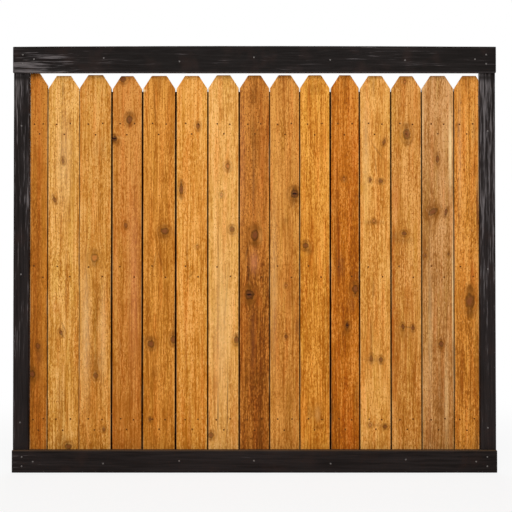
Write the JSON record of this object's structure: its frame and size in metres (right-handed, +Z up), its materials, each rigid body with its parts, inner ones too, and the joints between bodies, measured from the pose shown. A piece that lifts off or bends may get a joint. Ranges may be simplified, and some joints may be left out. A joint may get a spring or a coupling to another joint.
{
  "type": "wooden fence panel",
  "caption": "Upright dog-eared timber privacy panel: amber pickets in a dark stained frame, nailed to level back rails, with battens behind the gaps.",
  "frame": {"origin": "middle of the footprint at the level of the bottom edge", "axes": "+X along the panel's length to the right seen from the front, -Y out of the framed front face, +Z up along the pickets"},
  "size_m": [2.21, 0.117, 1.948],
  "materials": {
    "dark_stain": "near-black stain, worn to grey along the grain",
    "dark_batten": "dark stained, rough sawn",
    "back_timber": "rough planed, weathered brown",
    "cedar_russet": "clear stained cedar, russet brown, satin",
    "cedar_pale": "clear stained cedar, light golden, satin",
    "cedar_golden": "clear stained cedar, golden, satin",
    "cedar_amber": "clear stained cedar, amber brown, satin",
    "cedar_red_brown": "clear stained cedar, dark red-brown, satin",
    "cedar_orange": "clear stained cedar, strong orange russet, satin",
    "cedar_greyed": "clear stained cedar, pale tan with a cream sapwood edge, satin",
    "nail_steel": "dulled, slightly rusted steel"
  },
  "bodies": {
    "root": {"batten_01": "dark_batten", "batten_02": "dark_batten", "batten_03": "dark_batten", "batten_04": "dark_batten", "batten_05": "dark_batten", "batten_06": "dark_batten", "batten_07": "dark_batten", "batten_08": "dark_batten", "batten_09": "dark_batten", "batten_10": "dark_batten", "batten_11": "dark_batten", "batten_12": "dark_batten", "batten_13": "dark_batten", "batten_14": "dark_batten", "batten_nails": "nail_steel", "bottom_filler": "dark_stain", "bottom_rail": "dark_stain", "bottom_rail_nails": "nail_steel", "left_stile": "dark_stain", "lower_back_rail": "back_timber", "lower_picket_nails": "nail_steel", "middle_back_rail": "back_timber", "middle_picket_nails": "nail_steel", "picket_01": "cedar_russet", "picket_02": "cedar_pale", "picket_03": "cedar_golden", "picket_04": "cedar_amber", "picket_05": "cedar_golden", "picket_06": "cedar_pale", "picket_07": "cedar_pale", "picket_08": "cedar_red_brown", "picket_09": "cedar_amber", "picket_10": "cedar_golden", "picket_11": "cedar_orange", "picket_12": "cedar_pale", "picket_13": "cedar_golden", "picket_14": "cedar_greyed", "picket_15": "cedar_amber", "right_stile": "dark_stain", "stile_nails": "nail_steel", "top_nailer": "dark_stain", "top_rail": "dark_stain", "top_rail_nails": "nail_steel", "upper_back_rail": "back_timber", "upper_picket_nails": "nail_steel"}
  },
  "joints": []
}
